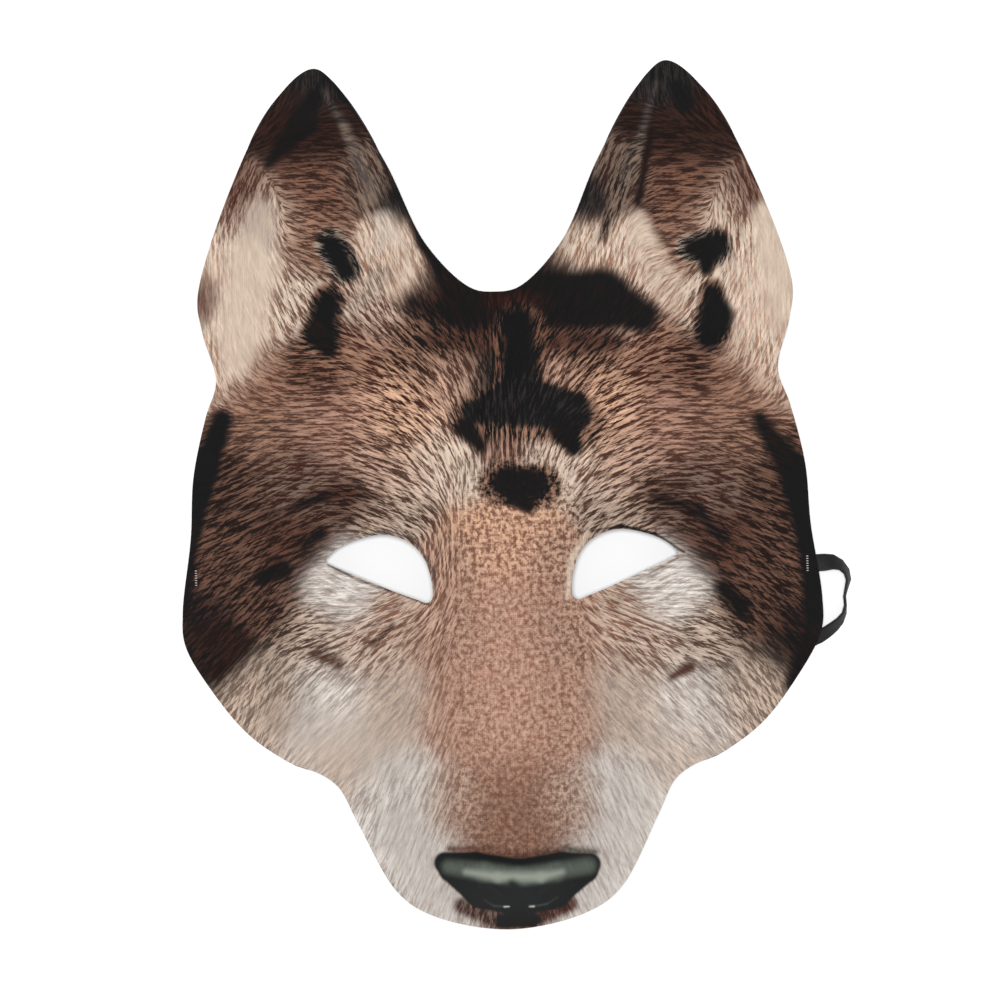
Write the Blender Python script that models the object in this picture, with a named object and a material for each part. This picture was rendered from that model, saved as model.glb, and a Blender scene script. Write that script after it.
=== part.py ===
"""Wolf-face half mask: one moulded foam laminate sheet with a sewn elastic strap.

The mask lies face up. X runs across the face, +Y to the ears and +Z out of the face.
The origin is on the table, under the middle of the sheet.
"""

import math

import bmesh
import bpy
import numpy as np
from mathutils import Vector, geometry

MM = 0.001

# Sheet
MASK_WIDTH = 192 * MM
MASK_HEIGHT = 260 * MM
WALL = 2.4 * MM

# Eye holes
EYE_SPACING = 73.5 * MM
EYE_WIDTH = 32.1 * MM
EYE_HEIGHT = 20.7 * MM
EYE_UP = 109 * MM

# Relief
EDGE_LIFT = 6 * MM
FACE_RISE = 18 * MM
FACE_FALL = 70 * MM
MUZZLE_RISE = 30 * MM
MUZZLE_FALL = 30 * MM
FOLD_RISE = 5 * MM
FOLD_FALL = 14 * MM

# Rests
REST_RADIUS = 7.5 * MM
REST_BLEND = 20 * MM

# Mesh fineness
RIM_STEP = 3.4 * MM
EYE_STEP = 2.6 * MM
GRID_STEP = 5.2 * MM
EDGE_BAND = 2.6 * MM
MEASURE_STEP = 1 * MM
CURVE_STEPS = 24

# Elastic strap
STRAP_WIDTH = 5.2 * MM
STRAP_THICKNESS = 0.9 * MM
STRAP_GAP = 0.5 * MM
STRAP_SEWN = 13 * MM
STRAP_EDGE_MARGIN = 1.6 * MM
STRAP_ACROSS = -22.4 * MM
STRAP_RING = 2.6 * MM

# Half of the sheet's outline from the notch between the ears to the chin. Each row gives
# the distance from the middle as a share of half the width, and the height above the
# chin as a share of the mask's height.
OUTLINE = [
    (0.000, 0.736),
    (0.075, 0.741),
    (0.211, 0.792),
    (0.334, 0.889),
    (0.495, 0.986),
    (0.556, 1.000),
    (0.684, 0.959),
    (0.928, 0.742),
    (0.917, 0.696),
    (0.878, 0.640),
    (0.913, 0.599),
    (0.956, 0.530),
    (0.969, 0.460),
    (1.000, 0.373),
    (0.994, 0.336),
    (0.889, 0.267),
    (0.789, 0.225),
    (0.677, 0.198),
    (0.581, 0.184),
    (0.525, 0.168),
    (0.470, 0.128),
    (0.348, 0.045),
    (0.242, 0.018),
    (0.000, 0.000),
]

# Outline of the right eye hole about its centre, as shares of half its width and height.
EYE_OUTLINE = [
    (-0.05, 1.00),
    (0.51, 0.81),
    (0.81, 0.58),
    (0.96, 0.36),
    (1.00, 0.26),
    (0.91, 0.17),
    (0.36, -0.22),
    (-0.23, -0.62),
    (-0.72, -0.91),
    (-0.89, -1.00),
    (-0.98, -0.90),
    (-1.00, -0.59),
    (-0.95, -0.13),
    (-0.85, 0.30),
    (-0.67, 0.65),
    (-0.40, 0.90),
]

# Pressed forms: centre across and up, reach across and up, and rise. Places and reaches
# are shares of half the width and of the height, rises are shares of the named rise.
# A form off the middle has a twin on the other side.
FACE_FORMS = [
    (0.00, 0.42, 1.30, 0.62, 1.00),
    (0.00, 0.62, 0.70, 0.24, 0.25),
]
MUZZLE_FORMS = [
    (0.00, 0.12, 0.60, 0.29, 0.92),
    (0.00, 0.36, 0.28, 0.22, 0.20),
    (0.00, 0.08, 0.38, 0.07, 0.15),
]
FOLD_FORMS = [
    (0.36, 0.520, 0.34, 0.080, 1.00),
    (0.38, 0.425, 0.32, 0.085, -1.30),
    (0.16, 0.400, 0.13, 0.090, -0.50),
    (0.62, 0.330, 0.36, 0.110, 0.90),
    (0.27, 0.140, 0.18, 0.080, 0.50),
    (0.00, 0.470, 0.16, 0.090, -0.60),
    (0.00, 0.600, 0.08, 0.120, -0.50),
    (0.64, 0.800, 0.20, 0.120, -0.70),
    (0.60, 0.655, 0.36, 0.040, -0.60),
]

# Places where the sheet lies flat on the table: the ear tips and the lower cheeks.
REST_PLACES = [
    (0.556, 0.975),
    (0.835, 0.246),
]

# Free stretch of the strap, from the right edge round the slack loop and back under the
# mask to the left edge. Each row gives x, y, z in mm and the lift of the band's inner
# edge in degrees.
STRAP_ROUTE = [
    (97.2, -22.3, 4.4, 12),
    (99.6, -22.2, 3.9, 34),
    (101.8, -23.0, 3.3, 55),
    (103.6, -24.9, 3.0, 68),
    (104.3, -27.0, 2.8, 74),
    (104.0, -29.3, 2.8, 78),
    (103.1, -31.4, 2.8, 86),
    (103.0, -33.7, 2.8, 87),
    (103.2, -36.2, 2.8, 84),
    (102.5, -38.4, 2.8, 74),
    (100.9, -40.6, 2.7, 60),
    (98.3, -42.7, 2.5, 50),
    (95.5, -44.5, 2.3, 43),
    (91.0, -45.9, 1.9, 30),
    (84.0, -46.5, 1.2, 10),
    (74.0, -46.2, 0.6, 0),
    (55.0, -46.8, 0.6, 0),
    (28.0, -48.5, 0.6, 0),
    (0.0, -49.0, 0.6, 0),
    (-28.0, -46.0, 0.6, 0),
    (-50.0, -39.5, 0.8, 0),
    (-64.0, -32.0, 2.4, 0),
    (-73.0, -26.5, 6.1, 0),
]

PRINT_COLOUR = (0.16, 0.10, 0.075, 1.0)
ELASTIC_COLOUR = (0.008, 0.008, 0.009, 1.0)


def clear_scene():
    for item in list(bpy.data.objects):
        bpy.data.objects.remove(item, do_unlink=True)


def make_material(name, colour, roughness):
    material = bpy.data.materials.new(name)
    material.use_nodes = True
    shader = material.node_tree.nodes["Principled BSDF"]
    shader.inputs["Base Color"].default_value = colour
    shader.inputs["Roughness"].default_value = roughness
    shader.inputs["Metallic"].default_value = 0.0
    return material


def curve_through(points, closed=True):
    """Closely spaced points along a centripetal Catmull-Rom curve through the given ones."""
    points = np.array(points, float)
    if closed:
        before, start = np.roll(points, 1, 0), points
        end, after = np.roll(points, -1, 0), np.roll(points, -2, 0)
    else:
        padded = np.vstack([2 * points[0] - points[1], points, 2 * points[-1] - points[-2]])
        before, start, end, after = padded[:-3], padded[1:-2], padded[2:-1], padded[3:]
    knots = [np.sqrt(np.linalg.norm(b - a, axis=1))[:, None]
             for a, b in ((before, start), (start, end), (end, after))]
    first, span, last = knots
    leave = (start - before) / first - (end - before) / (first + span) + (end - start) / span
    arrive = (end - start) / span - (after - start) / (span + last) + (after - end) / last
    rows = []
    for t in np.arange(CURVE_STEPS) / CURVE_STEPS:
        rows.append(
            (2 * t**3 - 3 * t**2 + 1) * start
            + (t**3 - 2 * t**2 + t) * span * leave
            + (3 * t**2 - 2 * t**3) * end
            + (t**3 - t**2) * span * arrive
        )
    line = np.stack(rows, 1).reshape(-1, points.shape[1])
    return line if closed else np.vstack([line, points[-1]])


def spaced(line, step, closed=True):
    """The line's points moved to even distances of about one step."""
    if closed:
        line = np.vstack([line, line[:1]])
    reach = np.concatenate([[0.0], np.cumsum(np.linalg.norm(np.diff(line, axis=0), axis=1))])
    count = max(4, round(reach[-1] / step))
    places = np.linspace(0.0, reach[-1], count + 1)
    columns = [np.interp(places, reach, column) for column in line.T]
    even = np.stack(columns, 1)
    return even[:-1] if closed else even


def sheet_outline(step):
    half = [(x * MASK_WIDTH / 2, (y - 0.5) * MASK_HEIGHT) for x, y in OUTLINE]
    other_half = [(-x, y) for x, y in half[-2:0:-1]]
    return spaced(curve_through(half + other_half), step)


def eye_outline(side, step):
    centre_x, centre_y = EYE_SPACING / 2, EYE_UP - MASK_HEIGHT / 2
    points = [(side * (centre_x + x * EYE_WIDTH / 2), centre_y + y * EYE_HEIGHT / 2)
              for x, y in EYE_OUTLINE]
    return spaced(curve_through(points), step)


def inside(points, loop):
    """Which points lie inside a closed loop."""
    x, y = points[:, :1], points[:, 1:]
    (x0, y0), (x1, y1) = loop.T, np.roll(loop, -1, 0).T
    spans = (y0 > y) != (y1 > y)
    rise = np.where(y1 == y0, 1.0, y1 - y0)
    crossings = spans & (x < x0 + (y - y0) * (x1 - x0) / rise)
    return crossings.sum(1) % 2 == 1


def nearest(points, loop):
    return np.linalg.norm(points[:, None] - loop[None], axis=2).min(1)


def edge_distance(points):
    """Rounded distance to the cut edge: true beside it, and with no crease half way."""
    rim = sheet_outline(MEASURE_STEP)
    step = np.linalg.norm(rim[1] - rim[0])
    gaps = np.linalg.norm(points[:, None] - rim[None], axis=2)
    total = (np.maximum(gaps, MEASURE_STEP / 4) ** -4).sum(1) * step * 2 / math.pi
    return total ** (-1 / 3)


def fall_off(distance, reach):
    """0 at the cut edge, 1 from one reach inwards."""
    return 1 - (1 - np.clip(distance / reach, 0, 1)) ** 2


def forms_at(points, forms):
    across, up = points[:, 0] / (MASK_WIDTH / 2), points[:, 1] / MASK_HEIGHT + 0.5
    total = np.zeros(len(points))
    for x, y, reach_x, reach_y, rise in forms:
        for centre in {x, -x}:
            apart = ((across - centre) / reach_x) ** 2 + ((up - y) / reach_y) ** 2
            total += rise * np.clip(1 - apart, 0, 1) ** 2
    return total


def rest_share(points):
    """1 where the sheet lies on the table, 0 away from there."""
    share = np.zeros(len(points))
    for x, y in REST_PLACES:
        for side in (-1, 1):
            centre = np.array([side * x * MASK_WIDTH / 2, (y - 0.5) * MASK_HEIGHT])
            beyond = np.linalg.norm(points - centre, axis=1) - REST_RADIUS
            share += np.clip(1 - (np.clip(beyond, 0, None) / REST_BLEND) ** 2, 0, 1) ** 2
    return np.clip(share, 0, 1)


def front_height(points):
    edge = edge_distance(points)
    relief = (
        EDGE_LIFT
        + FACE_RISE * fall_off(edge, FACE_FALL) * forms_at(points, FACE_FORMS)
        + MUZZLE_RISE * fall_off(edge, MUZZLE_FALL) * forms_at(points, MUZZLE_FORMS)
        + FOLD_RISE * fall_off(edge, FOLD_FALL) * forms_at(points, FOLD_FORMS)
    )
    return WALL + relief * (1 - rest_share(points))


def front_and_back(points):
    """The sheet's two faces: the back one lies one wall behind the front one."""
    reach = MEASURE_STEP / 2
    right, up = np.array([reach, 0.0]), np.array([0.0, reach])
    slope_x = (front_height(points + right) - front_height(points - right)) / (2 * reach)
    slope_y = (front_height(points + up) - front_height(points - up)) / (2 * reach)
    front = np.column_stack([points, front_height(points)])
    normal = np.column_stack([-slope_x, -slope_y, np.ones(len(points))])
    normal /= np.linalg.norm(normal, axis=1)[:, None]
    back = front - normal * WALL
    back[:, 2] = np.clip(back[:, 2], 0, None)
    return front, back


def in_sheet(points, loops):
    outline, *eyes = loops
    return inside(points, outline) & ~np.any([inside(points, eye) for eye in eyes], axis=0)


def band_points(loops):
    """A row of points along each cut edge, one band inside the sheet."""
    rows = []
    for loop in loops:
        along = np.roll(loop, -1, 0) - np.roll(loop, 1, 0)
        along /= np.linalg.norm(along, axis=1)[:, None]
        sideways = np.column_stack([-along[:, 1], along[:, 0]]) * EDGE_BAND
        rows += [loop + sideways, loop - sideways]
    points = np.vstack(rows)
    points = points[in_sheet(points, loops)]
    return points[nearest(points, np.vstack(loops)) > EDGE_BAND * 0.95]


def grid_points(loops):
    """A honeycomb of points inside the sheet that keeps off its edges."""
    row_step = GRID_STEP * math.sqrt(3) / 2
    rows = int(MASK_HEIGHT / row_step / 2) + 1
    columns = int(MASK_WIDTH / GRID_STEP / 2) + 1
    points = np.array([((i + (j % 2) / 2) * GRID_STEP, j * row_step)
                       for j in range(-rows, rows + 1) for i in range(-columns, columns + 1)])
    points = points[in_sheet(points, loops)]
    return points[nearest(points, np.vstack(loops)) > EDGE_BAND + GRID_STEP * 0.55]


def sheet_triangles():
    """Plan points and triangles of the sheet, with its two eye holes left open."""
    loops = [sheet_outline(RIM_STEP), eye_outline(1, EYE_STEP), eye_outline(-1, EYE_STEP)]
    edges, start = [], 0
    for loop in loops:
        count = len(loop)
        edges += [(start + i, start + (i + 1) % count) for i in range(count)]
        start += count
    points = np.vstack(loops + [band_points(loops), grid_points(loops)])
    flat = [Vector(point) for point in points]
    verts, _, faces, *_ = geometry.delaunay_2d_cdt(flat, edges, [], 1, 1e-7)
    plan = np.array([tuple(vert) for vert in verts])
    faces = np.array([list(face) for face in faces])
    return plan, faces[in_sheet(plan[faces].mean(1), loops)]


def build_sheet():
    plan, faces = sheet_triangles()
    front, back = front_and_back(plan)
    mesh = bmesh.new()
    front_verts = [mesh.verts.new(point) for point in front]
    back_verts = [mesh.verts.new(point) for point in back]
    for face in faces:
        mesh.faces.new([front_verts[i] for i in face])
    cut_edges = [edge for edge in mesh.edges if edge.is_boundary]
    for face in faces:
        mesh.faces.new([back_verts[i] for i in reversed(face)])
    mesh.verts.index_update()
    for edge in cut_edges:
        a, b = edge.verts[0].index, edge.verts[1].index
        mesh.faces.new([front_verts[a], front_verts[b], back_verts[b], back_verts[a]])
    loose = [vert for vert in mesh.verts if not vert.link_faces]
    bmesh.ops.delete(mesh, geom=loose, context="VERTS")
    bmesh.ops.recalc_face_normals(mesh, faces=mesh.faces)
    return add_object("moulded_face", mesh, make_material("printed_laminate", PRINT_COLOUR, 0.8))


def sewn_end(side):
    """Stations of a strap end on the back of the sheet, from its cut end to the edge."""
    rim = sheet_outline(MEASURE_STEP)
    level = rim[(rim[:, 0] * side > 0) & (abs(rim[:, 1] - STRAP_ACROSS) < 2 * MEASURE_STEP)]
    edge_x = abs(level[:, 0]).min() - STRAP_EDGE_MARGIN
    places = np.linspace(edge_x - STRAP_SEWN, edge_x, 5)
    points = np.array([(side * x, STRAP_ACROSS) for x in places])
    _, back = front_and_back(points)
    back[:, 2] -= STRAP_GAP + STRAP_THICKNESS / 2
    return [(*point, 0.0) for point in back]


def strap_stations():
    """Centre and lift of the band, at even steps from its right end to its left one."""
    free = [(x * MM, y * MM, z * MM, math.radians(lift)) for x, y, z, lift in STRAP_ROUTE]
    stations = sewn_end(1) + free + sewn_end(-1)
    scaled = np.array(stations) * (1, 1, 1, MM)
    line = spaced(curve_through(scaled, closed=False), STRAP_RING, closed=False)
    return line[:, :3], line[:, 3] / MM


def build_strap():
    centres, lifts = strap_stations()
    ahead = np.gradient(centres, axis=0)
    mesh = bmesh.new()
    rings = []
    for centre, way, lift in zip(centres, ahead, lifts):
        way = Vector(way).normalized()
        inner = way.cross(Vector((0, 0, 1))).normalized()
        up = inner.cross(way)
        width = (inner * math.cos(lift) + up * math.sin(lift)) * STRAP_WIDTH / 2
        depth = width.normalized().cross(way) * STRAP_THICKNESS / 2
        corners = (width + depth, depth - width, -width - depth, width - depth)
        rings.append([mesh.verts.new(Vector(centre) + corner) for corner in corners])
    for near, far in zip(rings, rings[1:]):
        for i in range(4):
            mesh.faces.new([near[i], near[i - 1], far[i - 1], far[i]])
    mesh.faces.new(rings[0])
    mesh.faces.new(rings[-1][::-1])
    bmesh.ops.recalc_face_normals(mesh, faces=mesh.faces)
    return add_object("elastic_strap", mesh, make_material("black_elastic", ELASTIC_COLOUR, 0.7))


def add_object(name, mesh, material):
    data = bpy.data.meshes.new(name)
    mesh.to_mesh(data)
    mesh.free()
    data.materials.append(material)
    data.shade_smooth()
    data.set_sharp_from_angle(angle=math.radians(35))
    item = bpy.data.objects.new(name, data)
    bpy.context.scene.collection.objects.link(item)
    return item


clear_scene()
build_sheet()
build_strap()
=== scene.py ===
"""Looks of the wolf-face half mask: its printed knit face, cut edge, lining and strap.

The mask lies face up on a pale table. X runs across the face, +Y to the ears and +Z out
of the face. All lengths are in metres.
"""

import math

import bmesh
import bpy
import numpy as np
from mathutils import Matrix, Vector, geometry, kdtree


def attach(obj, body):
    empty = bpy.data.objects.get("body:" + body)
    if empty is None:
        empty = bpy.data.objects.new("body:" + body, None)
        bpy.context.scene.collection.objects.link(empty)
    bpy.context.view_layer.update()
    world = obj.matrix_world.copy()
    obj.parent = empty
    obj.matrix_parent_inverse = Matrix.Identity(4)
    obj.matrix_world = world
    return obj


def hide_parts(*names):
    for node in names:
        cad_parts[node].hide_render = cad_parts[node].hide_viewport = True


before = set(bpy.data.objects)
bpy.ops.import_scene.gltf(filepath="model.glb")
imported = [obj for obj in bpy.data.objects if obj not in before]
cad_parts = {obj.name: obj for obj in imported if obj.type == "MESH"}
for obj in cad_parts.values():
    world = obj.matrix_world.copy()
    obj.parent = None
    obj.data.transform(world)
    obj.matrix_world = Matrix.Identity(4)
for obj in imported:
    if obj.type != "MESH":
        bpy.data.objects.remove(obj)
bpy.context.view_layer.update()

MM = 0.001

# Sheet
MASK_WIDTH = 192 * MM
MASK_HEIGHT = 260 * MM
WALL = 2.4 * MM

# Eye holes
EYE_SPACING = 73.5 * MM
EYE_WIDTH = 32.1 * MM
EYE_HEIGHT = 20.7 * MM
EYE_UP = 109 * MM

# Relief
EDGE_LIFT = 6 * MM
FACE_RISE = 18 * MM
FACE_FALL = 70 * MM
MUZZLE_RISE = 30 * MM
MUZZLE_FALL = 30 * MM
FOLD_RISE = 5 * MM
FOLD_FALL = 14 * MM

# Rests
REST_RADIUS = 7.5 * MM
REST_BLEND = 20 * MM

# Fineness of curves
MEASURE_STEP = 1 * MM
CURVE_STEPS = 24

# Elastic strap
STRAP_WIDTH = 5.2 * MM
STRAP_THICKNESS = 0.9 * MM
STRAP_GAP = 0.5 * MM
STRAP_SEWN = 13 * MM
STRAP_EDGE_MARGIN = 1.6 * MM
STRAP_ACROSS = -22.4 * MM
STRAP_RING = 2.6 * MM
SEWN_STATIONS = 5
BAND_SIDES = 28
BAND_ROUNDNESS = 0.35

# Half of the sheet's outline from the notch between the ears to the chin. Each row gives
# the distance from the middle as a share of half the width, and the height above the
# chin as a share of the mask's height.
OUTLINE = [
    (0.000, 0.736),
    (0.075, 0.741),
    (0.211, 0.792),
    (0.334, 0.889),
    (0.495, 0.986),
    (0.556, 1.000),
    (0.684, 0.959),
    (0.928, 0.742),
    (0.917, 0.696),
    (0.878, 0.640),
    (0.913, 0.599),
    (0.956, 0.530),
    (0.969, 0.460),
    (1.000, 0.373),
    (0.994, 0.336),
    (0.889, 0.267),
    (0.789, 0.225),
    (0.677, 0.198),
    (0.581, 0.184),
    (0.525, 0.168),
    (0.470, 0.128),
    (0.348, 0.045),
    (0.242, 0.018),
    (0.000, 0.000),
]

# Outline of the right eye hole about its centre, as shares of half its width and height.
EYE_OUTLINE = [
    (-0.05, 1.00),
    (0.51, 0.81),
    (0.81, 0.58),
    (0.96, 0.36),
    (1.00, 0.26),
    (0.91, 0.17),
    (0.36, -0.22),
    (-0.23, -0.62),
    (-0.72, -0.91),
    (-0.89, -1.00),
    (-0.98, -0.90),
    (-1.00, -0.59),
    (-0.95, -0.13),
    (-0.85, 0.30),
    (-0.67, 0.65),
    (-0.40, 0.90),
]

# Pressed forms: centre across and up, reach across and up, and rise. Places and reaches
# are shares of half the width and of the height, rises are shares of the named rise.
# A form off the middle has a twin on the other side.
FACE_FORMS = [
    (0.00, 0.42, 1.30, 0.62, 1.00),
    (0.00, 0.62, 0.70, 0.24, 0.25),
]
MUZZLE_FORMS = [
    (0.00, 0.12, 0.60, 0.29, 0.92),
    (0.00, 0.36, 0.28, 0.22, 0.20),
    (0.00, 0.08, 0.38, 0.07, 0.15),
]
FOLD_FORMS = [
    (0.36, 0.520, 0.34, 0.080, 1.00),
    (0.38, 0.425, 0.32, 0.085, -1.30),
    (0.16, 0.400, 0.13, 0.090, -0.50),
    (0.62, 0.330, 0.36, 0.110, 0.90),
    (0.27, 0.140, 0.18, 0.080, 0.50),
    (0.00, 0.470, 0.16, 0.090, -0.60),
    (0.00, 0.600, 0.08, 0.120, -0.50),
    (0.64, 0.800, 0.20, 0.120, -0.70),
    (0.60, 0.655, 0.36, 0.040, -0.60),
]

# Places where the sheet lies flat on the table: the ear tips and the lower cheeks.
REST_PLACES = [
    (0.556, 0.975),
    (0.835, 0.246),
]

# Free stretch of the strap, from the right edge round the slack loop and back under the
# mask to the left edge. Each row gives x, y, z in mm and the lift of the band's inner
# edge in degrees.
STRAP_ROUTE = [
    (97.2, -22.3, 4.4, 12),
    (99.6, -22.2, 3.9, 34),
    (101.8, -23.0, 3.3, 55),
    (103.6, -24.9, 3.0, 68),
    (104.3, -27.0, 2.8, 74),
    (104.0, -29.3, 2.8, 78),
    (103.1, -31.4, 2.8, 86),
    (103.0, -33.7, 2.8, 87),
    (103.2, -36.2, 2.8, 84),
    (102.5, -38.4, 2.8, 74),
    (100.9, -40.6, 2.7, 60),
    (98.3, -42.7, 2.5, 50),
    (95.5, -44.5, 2.3, 43),
    (91.0, -45.9, 1.9, 30),
    (84.0, -46.5, 1.2, 10),
    (74.0, -46.2, 0.6, 0),
    (55.0, -46.8, 0.6, 0),
    (28.0, -48.5, 0.6, 0),
    (0.0, -49.0, 0.6, 0),
    (-28.0, -46.0, 0.6, 0),
    (-50.0, -39.5, 0.8, 0),
    (-64.0, -32.0, 2.4, 0),
    (-73.0, -26.5, 6.1, 0),
]


# Mesh fineness of the face, of its lining and of the lines at the nose and eyes, and how
# many points are worked out at a time
FACE_STEP = 0.76 * MM
LINING_STEP = 2.6 * MM
FINE_STEP = 0.4 * MM
FINE_REACH = 3 * MM
BLOCK = 4000

# How near the cut edge the points inside may come, in steps
RIM_CLEAR = 0.6
LINING_CLEAR = 0.4

# The nose print's place, where the mesh is fine too: two ends of a line, and its reach
NOSE_ENDS = ((-13 * MM, -111 * MM), (23 * MM, -111 * MM))
NOSE_REACH = 12 * MM

# Edges sharper than this are drawn sharp
SHEET_CREASE = math.radians(40)
STRAP_CREASE = math.radians(50)

# Layers of the laminate, from the face down
KNIT_LAYER = 0.45 * MM
LINING_LAYER = 0.35 * MM

# Camera, table and light
CAMERA_HEIGHT = 1.6
CAMERA_ACROSS = 0.0
CAMERA_UP = -1.2 * MM
CAMERA_TURN = math.radians(-1.4)
LENS = 191
SENSOR = 36
TABLE_REACH = 3.0
TABLE_WHITE = 0.95
ROOM_LIGHT = 0.5
LAMP_SIZE = 0.3
LAMP_POWER = 48
LAMP_PLACE = (-0.02, 0.04, 2.4)

# Chart of the print: a square as wide as the camera's view, with its corner at the top
# left and rows running down. The face's middle line leans a little on it.
CHART_SIZE = 1000
CHART_VIEW = 300 * MM
CHART_LEVEL = 8 * MM
MIDDLE_AT_CHIN = 516
CHIN_DOWN = 926
MIDDLE_LEAN = 0.0285
TONE_SPREAD = 1.35
LAY_SPREAD = 1.9

# Hair of the print, how deep the dye takes on the knit, and the knit's stitches, which are
# drawn at 0.62 mm, as a finer real tricot wouldn't show
LAYS = 8
HAIR_LENGTH = 8 * MM
HAIR_WIDTH = 0.9 * MM
SPECKLE = 1.5 * MM
KNIT_PITCH = 0.62 * MM
HAIR_CONTRAST = 5.8
TONE_CONTRAST = 1.8
KNIT_SHADE = 0.2
DYE_DEPTH = 0.84
DYE_CONTRAST = 1.22

# Foam, lining, elastic and thread. Wave textures have a band every pi / 10 at scale 1.
# Ribs and picks of the elastic are drawn about twice as coarse as real ones, to show.
WAVE_BANDS = math.pi / 10
FOAM_CELL = 0.5 * MM
LINING_COURSE = 0.8 * MM
WEAR_PATCH = 22 * MM
RIB_PITCH = 0.65 * MM
PICK_PITCH = 0.9 * MM
LINT_PATCH = 3 * MM
THREAD = 0.3 * MM
THREAD_SIDES = 6
STITCH = 1.6 * MM
STITCH_RINGS = 6
STITCH_ARCH = 0.9
STITCH_SUNK = 0.4
SPECK = 0.7 * MM
STITCHES = 7
BAR_INSETS = (1 * MM, 11 * MM)

TONES = {
    "black": "#161618", "night": "#1e2125", "soot": "#3b3534", "ink": "#291913",
    "bark": "#452d25", "maroon": "#4c271d", "mauve": "#5a4237", "brown": "#6c4b3e",
    "umber": "#7b5d4f", "rust": "#855a44", "walnut": "#8d6958", "rose": "#9d7362",
    "tan": "#a58370", "pink": "#b69383", "sand": "#caab99", "peach": "#dbb69c",
    "cream": "#d8c7b7", "oat": "#c8b5a6", "dove": "#b6aaa2", "ash": "#a4968d",
    "stone": "#867468", "smoke": "#5e5450", "milk": "#dcd6d0", "moss": "#868e83",
    "sage": "#a9aea3", "slate": "#525c54", "pitch": "#131817",
}
# Patches of coat on the left half of the face, each with a twin on the right half, set area
# by area in round values. Columns: aside, which is the distance from the face's middle
# line, down and reach in chart units, the lay of the hair in degrees, the share of light
# strands, and the tones of ground and strands.
PRINT = """
# ear: tip and outer edge
180 80 14 90 .5 black soot
210 115 16 65 .4 ink bark
255 200 14 70 .4 maroon umber
292 300 12 90 .4 maroon brown
# ear: cream inside
235 225 20 90 .6 walnut cream
258 300 22 95 .7 sand cream
268 360 18 95 .6 tan cream
# ear: brown wedge, and hair beside the dark spots
188 135 20 0 .4 ink bark
185 190 20 175 .5 bark walnut
186 240 18 170 .5 mauve tan
213 300 18 120 .6 umber cream
# ear: ridge, inner edge and inner cream
130 180 14 115 .5 bark stone
95 200 12 115 .3 black soot
102 260 20 100 .6 tan cream
128 310 16 120 .5 brown oat
# ear: root
240 385 18 150 .5 brown tan
185 370 18 10 .4 ink walnut
# crown
48 300 24 120 .2 black maroon
0 300 20 90 .3 ink maroon
# forehead
80 350 22 140 .4 ink tan
150 350 20 155 .5 maroon tan
52 385 16 115 .5 brown sand
100 410 24 150 .5 maroon peach
170 420 24 175 .5 brown pink
230 430 20 10 .4 mauve tan
0 400 24 90 .2 black soot
# brow
62 460 20 115 .6 umber cream
34 480 12 80 .6 stone cream
0 450 12 90 .5 mauve pink
120 470 22 155 .5 mauve sand
152 490 12 175 .3 ink brown
104 505 18 150 .5 mauve oat
# temple and outer face
204 480 22 10 .4 maroon stone
274 490 20 25 .3 ink umber
216 540 18 30 .4 ink brown
274 560 22 30 .4 ink umber
242 610 18 40 .4 ink umber
298 640 22 40 .3 black bark
# bridge and muzzle
0 540 28 90 .5 walnut peach
55 560 14 80 .5 umber sand
0 620 36 90 .5 rose sand
58 630 20 50 .5 umber sand
0 720 36 90 .5 rose sand
55 720 20 60 .5 walnut sand
0 810 34 90 .4 umber tan
56 800 18 60 .5 walnut oat
# cheek and jaw
162 590 18 165 .6 dove milk
112 615 16 20 .5 walnut oat
198 640 18 10 .5 mauve oat
138 650 20 40 .5 umber oat
240 700 22 60 .5 stone oat
180 710 26 45 .6 dove milk
120 710 22 50 .6 ash oat
170 750 24 50 .6 dove oat
112 790 24 65 .6 dove milk
94 870 24 70 .6 dove milk
"""
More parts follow.
